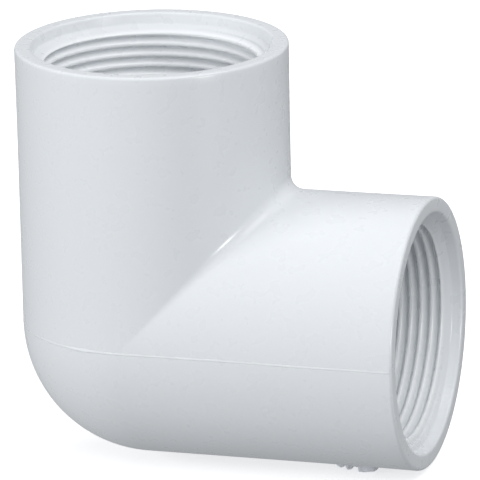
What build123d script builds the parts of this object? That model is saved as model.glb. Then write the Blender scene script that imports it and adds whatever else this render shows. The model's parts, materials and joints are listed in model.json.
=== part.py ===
from build123d import *
import os
from math import radians, tan

# A 90 degree PVC elbow fitting with a 1-1/2 inch BSP parallel female thread (G 1-1/2) in each mouth.
# The origin is where the two bore axes cross. The upper port opens along +Z, the side port along +X.
# The real fitting is one injection moulding, so these solids meet face to face and nothing moves.
# All sizes are in millimetres.

# Overall
centre_to_face = 60.0        # from the axes' crossing to each mouth face
mouth_radius = 29.0          # outside, at each mouth face
bend_radius = 28.7           # outside, at the bend; the arms draft out to the mouths
passage_radius = 22.0        # smooth waterway through the bend
rim_round = 0.5              # outer edge of each mouth
lip_round = 0.25             # inner edge of each mouth face

# Recess and bevel at each mouth; depths are from the mouth face inwards
recess_mouth_radius = 25.5
recess_floor_radius = 25.1   # the recess drafts inwards
recess_depth = 2.2
bevel_depth = 3.7            # where the bevel has narrowed to the thread's crest
thread_depth = 25.5          # where the thread ends
socket_depth = 27.4          # where the shoulder has narrowed to the waterway

# Thread: 11 turns per inch, 55 degree flanks, right-handed, crest truncated within tolerance
thread_pitch = 25.4 / 11
root_radius = 23.9           # major diameter 47.8
crest_radius = 22.6          # minor diameter 45.2
crest_flat = 0.57
flank_angle = 27.5           # each flank, from square to the axis
overcut = 0.2                # how far the raw ridge runs past its trimmed crest and root
upper_thread_start = 330.0   # angle where the ridge starts, about the port's axis
side_thread_start = 290.0

# Flash left by the mould, which parts on the plane of the side port's axis
bead_height = 0.15
bead_width = 0.4

# Broken-off gate under the side port, and the rough flash beside it
# Each is (middle along the port, middle across it, length, width, height below the arm)
gate_stub = (46.7, -2.0, 4.0, 4.4, 2.0)
gate_flash = (42.2, -2.4, 4.8, 3.0, 1.3)

upright = (Align.CENTER, Align.CENTER, Align.MIN)
split_plane = centre_to_face - socket_depth
bevel_slope = (bevel_depth - recess_depth) / (recess_floor_radius - crest_radius)
root_start = recess_depth + bevel_slope * (recess_floor_radius - root_radius)
ports = {"upper": Rotation(0, 0, 0), "side": Rotation(0, 90, 0)}
thread_starts = {"upper": upper_thread_start, "side": side_thread_start}


def arm_radius(height, grow=0.0):
    """Outside radius of a drafted arm at this height from the axes' crossing."""
    return bend_radius + (mouth_radius - bend_radius) * height / centre_to_face + grow


def arm(start, end, grow=0.0):
    """A solid stretch of one arm along +Z."""
    cone = Cone(arm_radius(start, grow), arm_radius(end, grow), end - start, align=upright)
    return Pos(0, 0, start) * cone


def make_bend():
    """The middle of the fitting: rounded outside, with a smooth passage turning through it.

    The crease between the arms is left sharp: it fades out where the arms become tangent.
    """
    arms = [port * arm(0, split_plane) for port in ports.values()]
    bores = [port * Cylinder(passage_radius, split_plane, align=upright) for port in ports.values()]
    return (Sphere(bend_radius) + arms) - (Sphere(passage_radius) + bores)


def make_socket():
    """One threaded mouth along +Z, from the bend to the mouth face, without its thread."""
    half_profile = [
        (passage_radius, split_plane),
        (arm_radius(split_plane), split_plane),
        (mouth_radius, centre_to_face),
        (recess_mouth_radius, centre_to_face),
        (recess_floor_radius, centre_to_face - recess_depth),
        (root_radius, centre_to_face - root_start),
        (root_radius, centre_to_face - thread_depth),
    ]
    section = make_face(Plane.XZ * Polyline(half_profile, close=True))
    socket = revolve(section, Axis.Z)
    rims = socket.edges().filter_by(GeomType.CIRCLE).group_by(Axis.Z)[-1].sort_by(SortBy.RADIUS)
    socket = fillet(rims[-1], rim_round)
    rims = socket.edges().filter_by(GeomType.CIRCLE).group_by(Axis.Z)[-1].sort_by(SortBy.RADIUS)
    return fillet(rims[0], lip_round)


def make_thread(start_angle):
    """The ridge of one thread along +Z. It stands on the socket's root wall and winds right-handed."""
    length = thread_depth - root_start
    inner = crest_radius - overcut
    outer = root_radius + overcut
    widen = 2 * tan(radians(flank_angle))
    inner_width = crest_flat - overcut * widen
    outer_width = crest_flat + (outer - crest_radius) * widen
    section = Polyline(
        (inner, -inner_width / 2),
        (inner, inner_width / 2),
        (outer, outer_width / 2),
        (outer, -outer_width / 2),
        close=True,
    )
    path = Helix(thread_pitch, length + 2 * thread_pitch, root_radius)
    ridge = sweep(make_face(Plane.XZ * section), path, is_frenet=True)
    # the crest and root are turned to true cylinders, then a turn is cut off each end
    ridge -= Cylinder(crest_radius, 3 * length)
    ridge &= Cylinder(root_radius, 3 * length)
    ridge &= Pos(0, 0, thread_pitch) * Box(3 * root_radius, 3 * root_radius, length, align=upright)
    bottom = centre_to_face - thread_depth - thread_pitch
    ridge = Pos(0, 0, bottom) * Rotation(0, 0, start_angle) * ridge
    # the bevel carries on from the socket down to the crest
    bevel = Cone(crest_radius, root_radius, bevel_depth - root_start, align=upright)
    return ridge - Pos(0, 0, centre_to_face - bevel_depth) * bevel


def make_parting_line():
    """A fine raised bead round the bend and along both sides of the side port."""
    reach = centre_to_face - rim_round
    outside = Sphere(bend_radius) + [port * arm(0, centre_to_face) for port in ports.values()]
    raised = Sphere(bend_radius + bead_height) + ports["side"] * arm(0, reach, bead_height)
    slab = Box(4 * centre_to_face, 4 * centre_to_face, bead_width)
    return (raised & slab) - outside


def make_gate_vestige():
    """What is left of the snapped gate on the underside of the side port."""
    lumps = []
    for along, across, length, width, height in (gate_stub, gate_flash):
        foot = arm_radius(along) + height
        lump = Pos(along, across, -foot) * Box(length, width, 3 * height, align=upright)
        lump = chamfer(lump.edges().filter_by(Axis.Z), width / 4)
        lumps.append(lump - ports["side"] * arm(0, centre_to_face))
    return Compound(lumps)


def save(shape, name):
    solids = shape.solids()
    solid = solids[0] if len(solids) == 1 else Compound(children=solids)
    solid.label = name
    export_step(solid, f"parts/{name}.step")
    print(f"{name}: {len(solids)} solid, {shape.volume:.1f} mm3")


os.makedirs("parts", exist_ok=True)
save(make_bend(), "bend")
for name, port in ports.items():
    save(port * make_socket(), f"{name}_socket")
    save(port * make_thread(thread_starts[name]), f"{name}_thread")
save(make_parting_line(), "parting_line")
save(make_gate_vestige(), "gate_vestige")
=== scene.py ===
import json
from math import acos, cos, exp, pi, radians, sin

import bmesh
import bpy
import numpy as np
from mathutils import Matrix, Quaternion, Vector, noise


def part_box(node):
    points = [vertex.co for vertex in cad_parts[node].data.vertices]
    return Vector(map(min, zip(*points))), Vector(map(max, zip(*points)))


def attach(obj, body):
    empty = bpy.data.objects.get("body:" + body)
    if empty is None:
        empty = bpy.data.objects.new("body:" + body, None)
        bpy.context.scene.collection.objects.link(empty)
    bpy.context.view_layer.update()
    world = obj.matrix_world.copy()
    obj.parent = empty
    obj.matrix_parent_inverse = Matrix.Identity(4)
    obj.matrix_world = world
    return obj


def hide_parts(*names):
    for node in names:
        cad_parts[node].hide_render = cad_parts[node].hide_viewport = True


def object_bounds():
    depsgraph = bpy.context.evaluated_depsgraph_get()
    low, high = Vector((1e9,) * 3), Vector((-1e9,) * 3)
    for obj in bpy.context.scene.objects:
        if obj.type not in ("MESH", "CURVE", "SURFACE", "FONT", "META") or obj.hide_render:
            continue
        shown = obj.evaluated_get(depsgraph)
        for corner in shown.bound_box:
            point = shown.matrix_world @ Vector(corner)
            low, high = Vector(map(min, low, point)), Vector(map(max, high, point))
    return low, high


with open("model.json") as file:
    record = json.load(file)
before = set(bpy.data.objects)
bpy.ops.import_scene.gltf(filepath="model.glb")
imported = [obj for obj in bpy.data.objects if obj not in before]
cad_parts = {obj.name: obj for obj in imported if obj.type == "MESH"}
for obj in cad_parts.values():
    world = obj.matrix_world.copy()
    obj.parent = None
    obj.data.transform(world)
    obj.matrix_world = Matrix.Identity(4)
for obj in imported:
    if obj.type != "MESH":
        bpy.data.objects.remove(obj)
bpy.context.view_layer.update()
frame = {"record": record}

MM = 0.001

# --- sizes read from the frame -------------------------------------------------------------------

mounts = {m["name"]: m for m in frame["record"]["mounts"]}
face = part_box("upper_socket")[1].z                  # centre to each mouth face
socket_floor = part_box("upper_socket")[0].z          # where the sockets join the bend
mouth_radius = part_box("upper_socket")[1].x
bend_radius = -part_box("bend")[0].z
root_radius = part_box("upper_thread")[1].x
crest_radius = mounts["upper_port"]["dims"]["r_mm"] * MM
passage_radius = mounts["upper_passage"]["dims"]["r_mm"] * MM
seam_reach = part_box("parting_line")[1].x            # where the parting line stops, near the mouth
gate_low, gate_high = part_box("gate_vestige")

# --- sizes that only the looks need --------------------------------------------------------------

COLUMNS = 192                   # vertices round each port
PITCH = 25.4 * MM / 11
ROWS_PER_PITCH = 14
CREST_FLAT = 0.50 * MM
ROOT_FLAT = 0.34 * MM
THREAD_SOFTNESS = 0.75          # 0 gives sharp crests and roots, 1 a flowing wave
UPPER_GROOVE = 0.46             # where the grooves lie along the upper port, in pitches
SIDE_GROOVE = 0.85
CREASE_BLEND = 3.0 * MM         # fillet where the two arms meet outside
SADDLE_ROUND = 0.9 * MM         # rounded edge where the two bores meet inside
RIM_ROUND = 0.65 * MM
LIP_ROUND = 0.6 * MM
RECESS_MOUTH = 25.5 * MM
RECESS_FLOOR = 25.1 * MM
RECESS_DEPTH = 2.2 * MM
BEVEL_DEPTH = 3.7 * MM
BEVEL_BLEND = 0.12 * MM         # half the width over which the thread rounds into the bevel
SHOULDER_BLEND = 0.3 * MM       # the same at the shoulder behind the thread
GATE_SINK = 0.4 * MM            # how far the gate's lumps are sunk into the arm
SEAM_HEIGHT = 0.15 * MM         # where the flash stands full, apart from the flare
SEAM_HALF_WIDTH = 0.28 * MM
SEAM_DRIFT = 0.15 * MM          # how far it wanders from the plane of the mould's halves
SEAM_FLARE = radians(-107.5)    # where the seam stands highest, about the upper port's axis
SEAM_FLARE_REACH = 3.2 * MM

# slots of the moulding's own materials
OUTSIDE, UPPER_BORE, SIDE_BORE = 0, 1, 2


# --- the moulding's surface ----------------------------------------------------------------------
# Every surface is worked out for the upper port. The side port's is its reflection in the plane
# where the arms meet, with the thread wound the other way first, so that it stays right-handed.
# An angle of 0 points from a port's axis towards the other arm.

angles = np.linspace(0, 2 * pi, COLUMNS + 1)


def ring(radius, height):
    """A level circle. The radius may be one number or one for each column."""
    return np.stack([radius * np.cos(angles), radius * np.sin(angles), height + 0 * angles], axis=1)


def bend_column(angle, radius, blend, shares):
    """Points down one column, from the plane where the arms meet up to the socket.

    Towards the other arm, a ball of the blend's radius rolls along both arms and leaves an arc.
    Away from it, the column follows the ball-shaped end of the bend.
    """
    c, s = cos(angle), sin(angle)
    points = []
    if c > 1e-9:
        turn = acos(s * s)
        arc = blend * turn / 2
        start = (radius + blend) * c
    else:
        turn = pi / 4
        arc = radius * abs(c) * turn
        start = 0.0
    length = arc + socket_floor - start
    for share in shares:
        run = share * length
        if run >= arc:
            points.append((radius * c, radius * s, start + run - arc))
        elif c > 1e-9:
            centre = (radius + blend) * np.array([c, s, c])
            towards_upper, towards_side = np.array([c, s, 0]), np.array([0, s, c])
            weight = run / blend + turn / 2
            near = sin(weight) / sin(turn) * towards_upper
            far = sin(turn - weight) / sin(turn) * towards_side
            points.append(tuple(centre - blend * (near + far)))
        else:
            tilt = turn * (1 - run / arc)
            points.append((radius * c * cos(tilt), radius * s, radius * c * sin(tilt)))
    return points


def bend_surface(radius, blend, rows=48):
    shares = np.linspace(0, 1, rows + 1) ** 1.6     # closest together where the arms meet
    columns = [bend_column(angle, radius, blend, shares) for angle in angles]
    return np.array(columns).transpose(1, 0, 2)


def arc_rings(centre_radius, centre_height, round_radius, start, end, steps):
    """Rings round the rounded edge of a rim, from one angle to another in degrees."""
    turns = np.radians(np.linspace(start, end, steps + 1))
    return [ring(centre_radius + round_radius * cos(t), centre_height + round_radius * sin(t)) for t in turns]


def wall_radius(distance):
    """Outside radius of an arm, this far from the centre. It is straight, then drafts out."""
    share = np.clip((distance - socket_floor) / (face - RIM_ROUND - socket_floor), 0, 1)
    return bend_radius + (mouth_radius - bend_radius) * share ** 2


def outer_wall():
    """Up the outside of a socket and round the edge of its rim."""
    heights = np.linspace(socket_floor, face - RIM_ROUND, 18)
    rings = [ring(wall_radius(height), height) for height in heights]
    return np.array(rings + arc_rings(mouth_radius - RIM_ROUND, face - RIM_ROUND, RIM_ROUND, 0, 90, 6)[1:])


def mouth_face():
    """Across the flat of the rim and down the recess to the bevel."""
    flat_start, flat_end = mouth_radius - RIM_ROUND, RECESS_MOUTH + LIP_ROUND
    rings = [ring(flat_start + (flat_end - flat_start) * share, face) for share in (0, 0.25, 0.5, 0.75)]
    rings += arc_rings(RECESS_MOUTH + LIP_ROUND, face - LIP_ROUND, LIP_ROUND, 90, 180, 5)
    top, foot = face - LIP_ROUND, face - RECESS_DEPTH
    for share in (0.3, 0.6, 0.85, 1.0):
        rings.append(ring(RECESS_MOUTH + (RECESS_FLOOR - RECESS_MOUTH) * share, top + (foot - top) * share))
    return np.array(rings)


def groove_depth(offset):
    """How deep a groove is, from 0 at the crest to 1 at the root, this far from its middle."""
    half_root, half_mouth = ROOT_FLAT / 2, (PITCH - CREST_FLAT) / 2
    climb = np.clip((offset - half_root) / (half_mouth - half_root), 0, 1)
    wave = climb * climb * (3 - 2 * climb)
    return 1 - (climb + (wave - climb) * THREAD_SOFTNESS)


def thread_wall(hand, groove):
    """The bevel, the thread and the shoulder behind it. Its rows wind with the thread.

    hand is 1 where the thread climbs as the angle grows, and -1 where it falls.
    """
    start, end = RECESS_DEPTH, face - socket_floor
    step = PITCH / ROWS_PER_PITCH
    rows = int((end - start + PITCH) / step) + 2 * ROWS_PER_PITCH
    turn = hand * angles / (2 * pi)
    first = (round(start / PITCH) - 2 + groove) * PITCH
    wound = first + step * np.arange(rows + 1)[:, None] - PITCH * turn[None, :]
    depth = np.clip(wound, start, end)
    offset = np.abs((depth / PITCH + turn[None, :] - groove + 0.5) % 1 - 0.5) * PITCH
    radius = crest_radius + (root_radius - crest_radius) * groove_depth(offset)
    bevel = RECESS_FLOOR + (crest_radius - RECESS_FLOOR) * (depth - start) / (BEVEL_DEPTH - start)
    radius = soft_max(radius, bevel, BEVEL_BLEND)
    shoulder = passage_radius + (end - depth)
    radius = -soft_max(-radius, -shoulder, SHOULDER_BLEND)
    radius[depth <= start] = RECESS_FLOOR
    radius[depth >= end] = passage_radius
    x, y = radius * np.cos(angles), radius * np.sin(angles)
    return np.stack([x, y, face - depth], axis=2)


def soft_max(a, b, width):
    """The larger of two, rounded where they cross."""
    gap = np.clip(0.5 + (a - b) / (2 * width), 0, 1)
    return b + (a - b) * gap + width * gap * (1 - gap)


def port_surfaces(hand, groove, bore):
    """The stretches of one port, each with its material slot. Rows run from outside to inside."""
    outside = bend_surface(bend_radius, CREASE_BLEND)
    inside = bend_surface(passage_radius, SADDLE_ROUND)[::-1]
    grids = [outside, outer_wall(), mouth_face(), thread_wall(hand, groove), inside]
    return list(zip(grids, [OUTSIDE, OUTSIDE, bore, bore, bore]))


def build_mesh(name, grids, closed_ends=False):
    """One mesh from grids of points, each with a material slot, welded where they meet."""
    points, faces, slots = [], [], []
    for grid, slot in grids:
        base = sum(len(p) for p in points)
        rows, columns = grid.shape[:2]
        points.append(grid.reshape(-1, 3))
        for row in range(rows - 1):
            for column in range(columns - 1):
                corner = base + row * columns + column
                faces.append((corner, corner + 1, corner + columns + 1, corner + columns))
                slots.append(slot)
        if closed_ends:
            for start in (base, base + (rows - 1) * columns):
                faces.append(tuple(start + column for column in range(columns - 1)))
                slots.append(slot)
    mesh = bpy.data.meshes.new(name)
    mesh.from_pydata(np.concatenate(points).tolist(), [], faces)
    mesh.polygons.foreach_set("material_index", slots)
    bm = bmesh.new()
    bm.from_mesh(mesh)
    bmesh.ops.remove_doubles(bm, verts=bm.verts, dist=0.001 * MM)
    bmesh.ops.recalc_face_normals(bm, faces=bm.faces)
    return finish_mesh(name, mesh, bm)


def finish_mesh(name, mesh, bm):
    for part in bm.faces:
        part.smooth = True
    bm.to_mesh(mesh)
    bm.free()
    piece = bpy.data.objects.new(name, mesh)
    bpy.context.collection.objects.link(piece)
    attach(piece, "root")
    return piece


def make_moulding():
    upper = port_surfaces(1, UPPER_GROOVE, UPPER_BORE)
    side = [(grid[:, :, ::-1], slot) for grid, slot in port_surfaces(-1, SIDE_GROOVE, SIDE_BORE)]
    return build_mesh("elbow_moulding", upper + side)


# --- what the mould leaves on the outside --------------------------------------------------------

def seam_path(steps_straight=160, steps_bend=120):
    """Points and outward directions along the parting line, from mouth to back of bend to mouth."""
    reach = np.linspace(seam_reach, 0, steps_straight + 1)
    front = [(Vector((x, -wall_radius(x), 0)), Vector((0, -1, 0))) for x in reach]
    turns = np.linspace(-pi / 2, -3 * pi / 2, steps_bend + 1)[1:-1]
    bend = [(Vector((cos(t), sin(t), 0)) * bend_radius, Vector((cos(t), sin(t), 0))) for t in turns]
    back = [(Vector((x, wall_radius(x), 0)), Vector((0, 1, 0))) for x in reach[::-1]]
    return front + bend + back


def make_seam():
    """A fine bead of flash that stands unevenly along the parting line, and most on the bend's front."""
    profile = [(-1.0, -0.4), (-0.7, 0.8), (-0.45, 1.0), (0.3, 0.45), (1.0, -0.4)]
    flare_middle = Vector((cos(SEAM_FLARE), sin(SEAM_FLARE), 0)) * bend_radius
    rows = []
    for point, out in seam_path():
        flare = exp(-((point - flare_middle).length / SEAM_FLARE_REACH) ** 4)
        coarse = noise.noise(point * 90)
        fine = noise.noise(point * 900)
        height = SEAM_HEIGHT * (min(1, max(0.15, 0.3 + 0.4 * coarse + 0.15 * fine)) + flare)
        half_width = SEAM_HALF_WIDTH * (1 + 0.3 * coarse + 0.5 * flare)
        drift = SEAM_DRIFT * noise.noise(point * 45)
        row = [point + out * height * up + Vector((0, 0, half_width * z + drift)) for z, up in profile]
        rows.append(row + row[:1])
    return build_mesh("parting_line_bead", [(np.array(rows), OUTSIDE)], closed_ends=True)


def add_lump(bm, middle, half, raggedness, seed):
    """A closed lump that fills a box roughly, with a torn surface."""
    made = bmesh.ops.create_icosphere(bm, subdivisions=4, radius=1)
    for vert in made["verts"]:
        way = vert.co.copy()
        squareness = max(abs(way.x), abs(way.y), abs(way.z)) ** 0.6
        torn = noise.noise(way * 1.7 + seed) + 0.3 * noise.noise(way * 4.3 - seed)
        grown = (1 + raggedness * torn) / squareness
        vert.co = Vector([m + h * max(-1, min(1, w * grown)) for m, h, w in zip(middle, half, way)])


def make_gate_remains():
    """The snapped gate, deepest at its inner end, and the teeth of flash beside it."""
    length, width = gate_high.x - gate_low.x, gate_high.y - gate_low.y
    middle_y = (gate_low.y + gate_high.y) / 2
    top = gate_high.z + GATE_SINK
    lumps = [                   # place along the box, half length, half width and depth in shares; raggedness
        (0.67, 0.12, 0.44, 0.94, 0.12),
        (0.82, 0.18, 0.50, 0.82, 0.10),
        (0.45, 0.07, 0.30, 0.62, 0.30),
        (0.31, 0.10, 0.34, 0.76, 0.30),
        (0.10, 0.10, 0.30, 0.68, 0.30),
    ]
    bm = bmesh.new()
    for number, (along, half_length, half_width, depth, raggedness) in enumerate(lumps):
        foot = top - (top - gate_low.z) * depth
        middle = (gate_low.x + along * length, middle_y, (top + foot) / 2)
        half = (half_length * length, half_width * width, (top - foot) / 2)
        add_lump(bm, middle, half, raggedness, Vector((3.7, 1.9, 8.3)) * (number + 1))
    name = "gate_remains"
    return finish_mesh(name, bpy.data.meshes.new(name), bm)


moulding = make_moulding()
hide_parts("bend", "upper_socket", "upper_thread", "side_socket", "side_thread")
seam = make_seam()
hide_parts("parting_line")
gate = make_gate_remains()
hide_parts("gate_vestige")


# --- materials -----------------------------------------------------------------------------------

class Nodes:
    """A short way to add nodes to one material. Texture coordinates are in millimetres."""

    def __init__(self, name):
        self.material = bpy.data.materials.new(name)
        self.material.use_nodes = True
        self.tree = self.material.node_tree
        self.shader = self.tree.nodes["Principled BSDF"]
        place = self.tree.nodes.new("ShaderNodeTexCoord")
        scaled = self.add("ShaderNodeMapping", Vector=place.outputs["Object"])
        scaled.inputs["Scale"].default_value = (1 / MM, 1 / MM, 1 / MM)
        self.place = scaled.outputs["Vector"]

    def set(self, node, **inputs):
        for name, value in inputs.items():
            socket = node.inputs[name.replace("_", " ")]
            if isinstance(value, bpy.types.NodeSocket):
                self.tree.links.new(value, socket)
            else:
                socket.default_value = value
        return node

    def add(self, kind, **inputs):
        return self.set(self.tree.nodes.new(kind), **inputs)

    def noise(self, size, detail=2.0, roughness=0.5, place=None):
        """Noise from 0 to 1 whose features are about this many millimetres across."""
        node = self.add("ShaderNodeTexNoise", Vector=place or self.place, Scale=1 / size, Detail=detail,
                        Roughness=roughness)
        return node.outputs["Fac"]

    def span(self, value, low, high, to_low, to_high):
        """The value's stretch from low to high, spread over another stretch."""
        node = self.add("ShaderNodeMapRange", Value=value, From_Min=low, From_Max=high, To_Min=to_low,
                        To_Max=to_high)
        return node.outputs["Result"]

    def stretched(self, scale):
        """Texture coordinates with each axis scaled by its own factor."""
        node = self.add("ShaderNodeMapping", Vector=self.place)
        node.inputs["Scale"].default_value = scale
        return node.outputs["Vector"]

    def blend(self, share, first, second):
        """A colour between two, each a triple or a socket."""
        node = self.tree.nodes.new("ShaderNodeMix")
        node.data_type = "RGBA"
        self.tree.links.new(share, node.inputs["Factor"])
        for socket, colour in ((node.inputs[6], first), (node.inputs[7], second)):
            if isinstance(colour, bpy.types.NodeSocket):
                self.tree.links.new(colour, socket)
            else:
                socket.default_value = (*colour, 1)
        return node.outputs[2]

    def bump(self, height, depth, normal=None):
        """Raise the surface by height, 0 to 1, times this many millimetres."""
        node = self.add("ShaderNodeBump", Height=height, Distance=depth * MM)
        if normal:
            self.tree.links.new(normal, node.inputs["Normal"])
        return node.outputs["Normal"]


PVC_LIGHT = (0.742, 0.769, 0.795)
PVC_DARK = (0.733, 0.760, 0.785)
# The thread's tones are painted light and shade: the ridges are painted lighter and the grooves darker, with
# a strength of its own in each port.
UPPER_THREAD_PAINTED_SHADING = ((0.86, 0.88, 0.90), (0.73, 0.755, 0.78))        # ridges, grooves
SIDE_THREAD_PAINTED_SHADING = ((0.82, 0.84, 0.86), (0.66, 0.69, 0.71))
GROOVE_SHADE = 0.9 * MM         # how far the painted shade in the grooves reaches up from the roots
THREAD_FADE = 0.8 * MM          # stretch of the bevel over which the thread's painted light and shade fade out


def paint_thread_shading(n, axis, tone, ridge_painted_light, groove_painted_shade):
    """The tone inside a port: its own on the mouth, then the thread's painted shading, from painted light on
    the ridges to painted shade in the grooves.
    """
    across = n.stretched([float(other != axis) for other in range(3)])
    radius = n.add("ShaderNodeVectorMath", Vector=across)
    radius.operation = "LENGTH"
    deep = n.span(radius.outputs["Value"], (root_radius - GROOVE_SHADE) / MM, root_radius / MM, 0.0, 1.0)
    along = n.add("ShaderNodeSeparateXYZ", Vector=n.place).outputs[axis]
    bevel_foot = (face - BEVEL_DEPTH) / MM
    inside = n.span(along, bevel_foot, bevel_foot + THREAD_FADE / MM, 1.0, 0.0)
    return n.blend(inside, tone, n.blend(deep, ridge_painted_light, groove_painted_shade))


def make_pvc(name, axis=None, thread_painted_shading=()):
    """White moulded PVC. Inside a port it also has the faint rings of the turned core, and the thread's
    painted light on its ridges and painted shade in its grooves.
    """
    n = Nodes(name)
    cloud = n.noise(5.0, detail=4.0, roughness=0.65)
    flow = n.noise(4.0, detail=2.0, roughness=0.5)
    share = n.span(cloud, 0.2, 0.8, 0.0, 1.0)
    tone = n.blend(share, PVC_DARK, PVC_LIGHT)
    gloss = n.span(flow, 0.2, 0.8, 0.26, 0.30)
    normal = n.bump(n.noise(9.0, detail=1.0), 0.014)
    if axis is not None:
        squash = [1.0 if other == axis else 0.02 for other in range(3)]
        normal = n.bump(n.noise(0.5, detail=1.0, place=n.stretched(squash)), 0.0008, normal)
        tone = paint_thread_shading(n, axis, tone, *thread_painted_shading)
    n.set(n.shader, Base_Color=tone, Roughness=gloss, Normal=normal)
    return n.material


def make_torn_pvc():
    """PVC where it was snapped: matt, grainy and paler on its high spots."""
    n = Nodes("torn_pvc")
    grain = n.noise(0.7, detail=4.0, roughness=0.6)
    tone = n.blend(n.span(grain, 0.3, 0.7, 0.0, 1.0), (0.70, 0.72, 0.77), (0.80, 0.82, 0.86))
    n.set(n.shader, Base_Color=tone, Roughness=n.span(grain, 0.3, 0.7, 0.5, 0.7), Normal=n.bump(grain, 0.008))
    return n.material


def make_flash_pvc():
    """The thin clean flash on the parting line, a little glossier than the walls."""
    n = Nodes("flash_pvc")
    cloud = n.noise(2.5, detail=2.0)
    tone = n.blend(n.span(cloud, 0.3, 0.7, 0.0, 1.0), PVC_LIGHT, (0.77, 0.80, 0.82))
    n.set(n.shader, Base_Color=tone, Roughness=n.span(cloud, 0.3, 0.7, 0.18, 0.27),
          Normal=n.bump(n.noise(0.4), 0.004))
    return n.material


X_AXIS, Z_AXIS = 0, 2
# the bores' materials carry the thread's painted light and shade
for finish in (make_pvc("white_pvc"), make_pvc("upper_bore_pvc_painted_shading", Z_AXIS, UPPER_THREAD_PAINTED_SHADING),
               make_pvc("side_bore_pvc_painted_shading", X_AXIS, SIDE_THREAD_PAINTED_SHADING)):
    moulding.data.materials.append(finish)
gate.data.materials.append(make_torn_pvc())
seam.data.materials.append(make_flash_pvc())


# --- stage, light and camera ---------------------------------------------------------------------

LAMP_DISTANCE = 1.2
BOTH, SOFT, GLINT = (True, True), (True, False), (False, True)      # what a lamp adds: shade, gloss
LAMPS = [                       # name, azimuth and elevation in degrees, size in metres, watts
    ("key", -55, 12, 0.45, 8.0, SOFT),
    ("front_right", 35, 35, 0.7, 6.0, SOFT),
    ("top_right", 75, 60, 0.7, 4.0, BOTH),
    ("top_back", 180, 60, 0.7, 3.5, SOFT),
    ("back_left", 200, 10, 0.7, 2.0, SOFT),
    ("under", 0, -75, 0.7, 2.0, SOFT),
    ("crease_glint", 62, 4, 0.12, 5.0, GLINT),
]
WORLD_LIGHT = 0.34
WORLD_TINT = (0.975, 0.99, 1.015)
FLOOR_GLOW = 0.45               # lifts the floor to the white of a studio sweep


def make_floor():
    size = 8.0
    mesh = bpy.data.meshes.new("floor")
    corners = [(x * size, y * size, 0) for x, y in ((-1, -1), (1, -1), (1, 1), (-1, 1))]
    mesh.from_pydata(corners, [], [(0, 1, 2, 3)])
    floor = bpy.data.objects.new("floor", mesh)
    bpy.context.collection.objects.link(floor)
    floor.location.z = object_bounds()[0].z
    material = bpy.data.materials.new("floor")
    material.use_nodes = True
    shader = material.node_tree.nodes["Principled BSDF"]
    shader.inputs["Base Color"].default_value = (0.93, 0.93, 0.93, 1)
    shader.inputs["Roughness"].default_value = 0.9
    shader.inputs["Emission Color"].default_value = (1, 1, 1, 1)
    shader.inputs["Emission Strength"].default_value = FLOOR_GLOW
    mesh.materials.append(material)
    # the under light shines through, and the floor throws no light of its own on the fitting
    floor.visible_shadow = False
    floor.visible_diffuse = False
    floor.visible_glossy = False


def make_light(name, azimuth, elevation, size, power, adds):
    """A soft box aimed at the fitting. Azimuth 0 is in front, and 90 is to the right."""
    light = bpy.data.lights.new(name, "AREA")
    light.size = size
    light.energy = power
    lamp = bpy.data.objects.new(name, light)
    bpy.context.collection.objects.link(lamp)
    a, e = radians(azimuth), radians(elevation)
    aim = Vector((sin(a) * cos(e), -cos(a) * cos(e), sin(e)))
    lamp.location = aim * LAMP_DISTANCE
    lamp.rotation_mode = "QUATERNION"
    lamp.rotation_quaternion = aim.to_track_quat("Z", "Y")
    lamp.visible_diffuse, lamp.visible_glossy = adds


def make_world(strength):
    world = bpy.data.worlds.new("studio")
    world.use_nodes = True
    background = world.node_tree.nodes["Background"]
    background.inputs["Color"].default_value = (*WORLD_TINT, 1)
    background.inputs["Strength"].default_value = strength
    bpy.context.scene.world = world


def make_camera(azimuth, elevation, roll, distance, fill):
    """A long lens, aimed so that the object is in the middle and fills this share of the frame."""
    a, e = radians(azimuth), radians(elevation)
    back = Vector((sin(a) * cos(e), -cos(a) * cos(e), sin(e)))
    turn = (-back).to_track_quat("-Z", "Y") @ Quaternion((0, 0, 1), radians(roll))
    data = bpy.data.cameras.new("camera")
    camera = bpy.data.objects.new("camera", data)
    bpy.context.collection.objects.link(camera)
    camera.rotation_mode = "QUATERNION"
    camera.rotation_quaternion = turn
    camera.location = back * distance
    points = np.array([v.co for v in moulding.data.vertices])
    to_view = np.array(turn.to_matrix())
    for _ in range(3):
        seen = (points - np.array(camera.location)) @ to_view
        flat = seen[:, :2] / -seen[:, 2:]
        low, high = flat.min(axis=0), flat.max(axis=0)
        shift = (low + high) / 2 * distance
        camera.location += turn @ Vector((shift[0], shift[1], 0))
    data.sensor_width = 36
    data.lens = fill * data.sensor_width / max(high - low)
    data.clip_start, data.clip_end = 0.01, 100
    bpy.context.scene.camera = camera


make_floor()
for lamp in LAMPS:
    make_light(*lamp)
make_world(WORLD_LIGHT)
make_camera(azimuth=17.7, elevation=16.2, roll=-1.37, distance=1.57, fill=0.962)
bpy.context.scene.view_settings.view_transform = "Standard"
